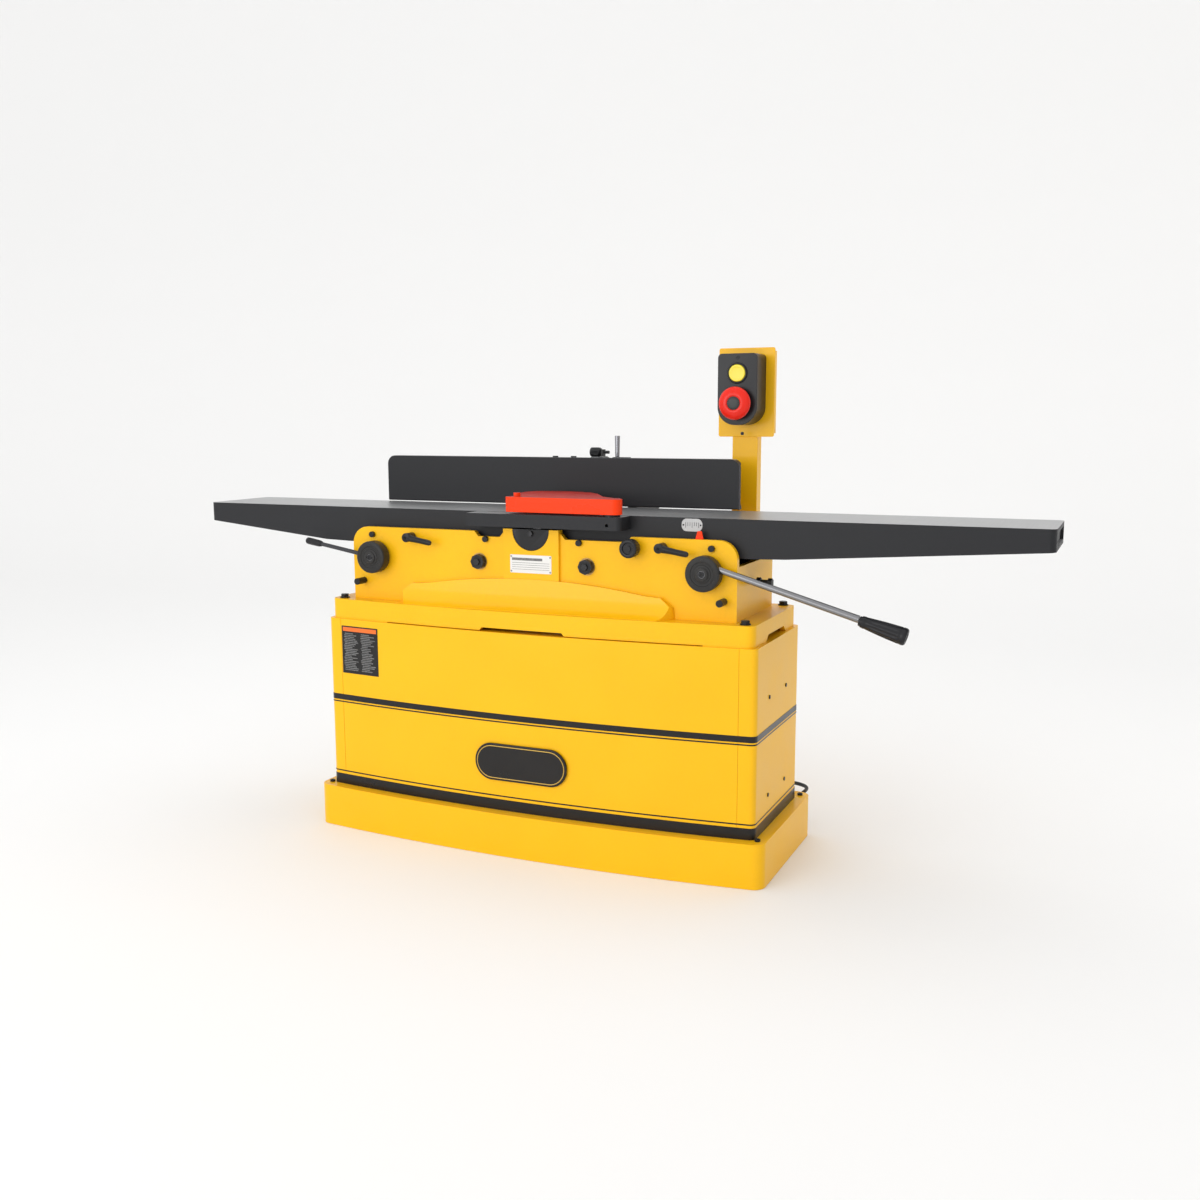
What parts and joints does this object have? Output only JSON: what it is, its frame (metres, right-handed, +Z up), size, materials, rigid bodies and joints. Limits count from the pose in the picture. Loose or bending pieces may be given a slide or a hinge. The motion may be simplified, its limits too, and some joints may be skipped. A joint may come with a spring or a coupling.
{
  "type": "jointer",
  "caption": "Floor-standing woodworking jointer with a helical cutterhead, lever-raised tables, a tilting sliding fence, a swinging guard, a cabinet base and a pedestal switch.",
  "frame": {"origin": "on the floor, under the middle of the cutterhead's axis", "axes": "+X towards the infeed end, +Y towards the back, +Z up"},
  "size_m": [2.083, 0.681, 1.17],
  "materials": {
    "yellow_paint": "gloss enamel",
    "black_hardware": "black oxide",
    "black_trim": "satin",
    "plates": "satin plate",
    "bronze": "sintered bronze",
    "red_paint": "gloss enamel",
    "bright_steel": "ground",
    "carbide": "sharp ground",
    "iron": "black enamel over casting",
    "ground_iron": "ground on the working faces",
    "belt_rubber": "matt",
    "dark_sheet": "satin",
    "motor_paint": "satin",
    "galvanised": "galvanised sheet",
    "black_plastic": "moulded",
    "handle_metal": "turned",
    "start_plastic": "moulded",
    "stop_plastic": "moulded",
    "cord_rubber": "moulded"
  },
  "bodies": {
    "machine": {"plinth": "yellow_paint", "leveling_screws": "black_hardware", "cabinet_shell": "yellow_paint", "front_panel": "yellow_paint", "rear_access_panel": "yellow_paint", "case_screws": "black_hardware", "trim_stripes": "black_trim", "badge": "plates", "label_plates": "plates", "bed_casting": "yellow_paint", "shaft_bushings": "bronze", "adjusting_screws": "black_hardware", "depth_pointer": "red_paint", "bearing_housings": "black_hardware", "head_bearings": "bright_steel", "drive_belt": "belt_rubber", "belt_guard": "dark_sheet", "motor": "motor_paint", "motor_shelf": "dark_sheet", "chip_hopper": "galvanised", "dust_duct": "galvanised", "dust_port": "black_plastic", "fence_base": "iron", "switch_post": "yellow_paint", "switch_box": "black_plastic", "strain_relief": "cord_rubber", "power_cord": "cord_rubber", "cord_coil": "cord_rubber", "plug": "black_plastic"},
    "infeed_crank": {"infeed_outer_shaft": "bright_steel", "infeed_lever_hub": "iron", "infeed_lever": "bright_steel", "infeed_lever_grip": "black_plastic"},
    "infeed_table": {"infeed_table": "ground_iron", "rabbet_ledge": "ground_iron", "scale_plate": "bright_steel", "guard_post": "bright_steel"},
    "infeed_follower": {"infeed_inner_shaft": "bright_steel"},
    "outfeed_crank": {"outfeed_outer_shaft": "bright_steel", "outfeed_lever_hub": "iron", "outfeed_lever": "black_hardware", "outfeed_lever_grip": "black_plastic"},
    "outfeed_table": {"outfeed_table": "ground_iron"},
    "outfeed_follower": {"outfeed_inner_shaft": "bright_steel"},
    "cutterhead": {"cutterhead": "bright_steel", "cutter_inserts": "carbide", "head_pulley": "iron"},
    "motor_rotor": {"motor_pulley": "iron"},
    "guard_collar": {"guard_collar": "black_hardware"},
    "guard": {"guard": "red_paint"},
    "fence_carriage": {"fence_carriage": "iron"},
    "fence": {"fence": "ground_iron"},
    "tilt_lock_handle": {"tilt_lock_handle": "handle_metal"},
    "slide_lock_handle": {"slide_lock_handle": "black_hardware"},
    "tilt_stop_knob": {"tilt_stop_knob": "black_plastic"},
    "infeed_lock_handle": {"infeed_lock_handle": "black_hardware"},
    "outfeed_lock_handle": {"outfeed_lock_handle": "black_hardware"},
    "depth_stop_knob": {"depth_stop_knob": "black_plastic"},
    "start_button": {"start_button": "start_plastic"},
    "stop_button": {"stop_button": "stop_plastic"}
  },
  "joints": [
    {"name": "infeed_lever_turn", "type": "hinge", "parent": "machine", "child": "infeed_crank", "pos_m": [0.423, 0, 0.676], "axis": [0, -1, 0], "range_deg": [0, 54]},
    {"name": "infeed_table_pin", "type": "hinge", "parent": "infeed_crank", "child": "infeed_table", "pos_m": [0.407, 0, 0.676], "axis": [0, -1, 0], "range_deg": [-54, 0]},
    {"name": "infeed_follower_turn", "type": "hinge", "parent": "machine", "child": "infeed_follower", "pos_m": [0.1385, 0, 0.676], "axis": [0, -1, 0], "range_deg": [0, 54]},
    {"name": "outfeed_lever_turn", "type": "hinge", "parent": "machine", "child": "outfeed_crank", "pos_m": [-0.423, 0, 0.676], "axis": [0, 1, 0], "range_deg": [-6, 30]},
    {"name": "outfeed_table_pin", "type": "hinge", "parent": "outfeed_crank", "child": "outfeed_table", "pos_m": [-0.407, 0, 0.676], "axis": [0, 1, 0], "range_deg": [-30, 6]},
    {"name": "outfeed_follower_turn", "type": "hinge", "parent": "machine", "child": "outfeed_follower", "pos_m": [-0.1385, 0, 0.676], "axis": [0, 1, 0], "range_deg": [-6, 30]},
    {"name": "cutterhead_spin", "type": "hinge", "parent": "machine", "child": "cutterhead", "pos_m": [0, 0, 0.7535], "axis": [0, 1, 0], "continuous": true},
    {"name": "motor_spin", "type": "hinge", "parent": "machine", "child": "motor_rotor", "pos_m": [0.12, 0, 0.3], "axis": [0, 1, 0], "continuous": true},
    {"name": "guard_push", "type": "hinge", "parent": "infeed_table", "child": "guard_collar", "pos_m": [0.204, -0.149, 0.79], "axis": [0, 0, 1], "range_deg": [0, 35.5]},
    {"name": "guard_swing", "type": "hinge", "parent": "guard_collar", "child": "guard", "pos_m": [0.204, -0.149, 0.81], "axis": [0, 0, 1], "range_deg": [0, 80], "stiffness_Nm_per_rad": 0.6, "springref_deg": -5.73},
    {"name": "fence_slide", "type": "slide", "parent": "machine", "child": "fence_carriage", "axis": [0, -1, 0], "range_m": [0, 0.16]},
    {"name": "fence_tilt", "type": "hinge", "parent": "fence_carriage", "child": "fence", "pos_m": [0, 0.126, 0.8605], "axis": [1, 0, 0], "range_deg": [-45, 45]},
    {"name": "tilt_lock_turn", "type": "hinge", "parent": "fence_carriage", "child": "tilt_lock_handle", "pos_m": [0.079, 0.176, 0.8605], "axis": [1, 0, 0], "range_deg": [-40, 20]},
    {"name": "slide_lock_turn", "type": "hinge", "parent": "machine", "child": "slide_lock_handle", "pos_m": [0.06, 0.25, 0.815], "axis": [1, 0, 0], "range_deg": [0, 60]},
    {"name": "tilt_stop_turn", "type": "hinge", "parent": "fence_carriage", "child": "tilt_stop_knob", "pos_m": [0.02, 0.205, 0.922], "axis": [1, 0, 0], "continuous": true},
    {"name": "infeed_lock_turn", "type": "hinge", "parent": "machine", "child": "infeed_lock_handle", "pos_m": [0.322, -0.15, 0.727], "axis": [0, -1, 0], "range_deg": [0, 70]},
    {"name": "outfeed_lock_turn", "type": "hinge", "parent": "machine", "child": "outfeed_lock_handle", "pos_m": [-0.322, -0.15, 0.727], "axis": [0, -1, 0], "range_deg": [0, 70]},
    {"name": "depth_stop_pull", "type": "slide", "parent": "machine", "child": "depth_stop_knob", "axis": [0, -1, 0], "range_m": [0, 0.008], "stiffness_N_per_m": 900},
    {"name": "start_button_press", "type": "slide", "parent": "machine", "child": "start_button", "axis": [0, 1, 0], "range_m": [0, 0.004], "stiffness_N_per_m": 700},
    {"name": "stop_button_press", "type": "slide", "parent": "machine", "child": "stop_button", "axis": [0, 1, 0], "range_m": [0, 0.006], "stiffness_N_per_m": 900}
  ],
  "couplings": [
    {"joint": "infeed_table_pin", "follows": "infeed_lever_turn", "ratio": -1},
    {"joint": "infeed_follower_turn", "follows": "infeed_lever_turn", "ratio": 1},
    {"joint": "outfeed_table_pin", "follows": "outfeed_lever_turn", "ratio": -1},
    {"joint": "outfeed_follower_turn", "follows": "outfeed_lever_turn", "ratio": 1},
    {"joint": "motor_spin", "follows": "cutterhead_spin", "ratio": 0.5},
    {"joint": "guard_push", "follows": "fence_slide", "rad_per_m": 3.82}
  ]
}
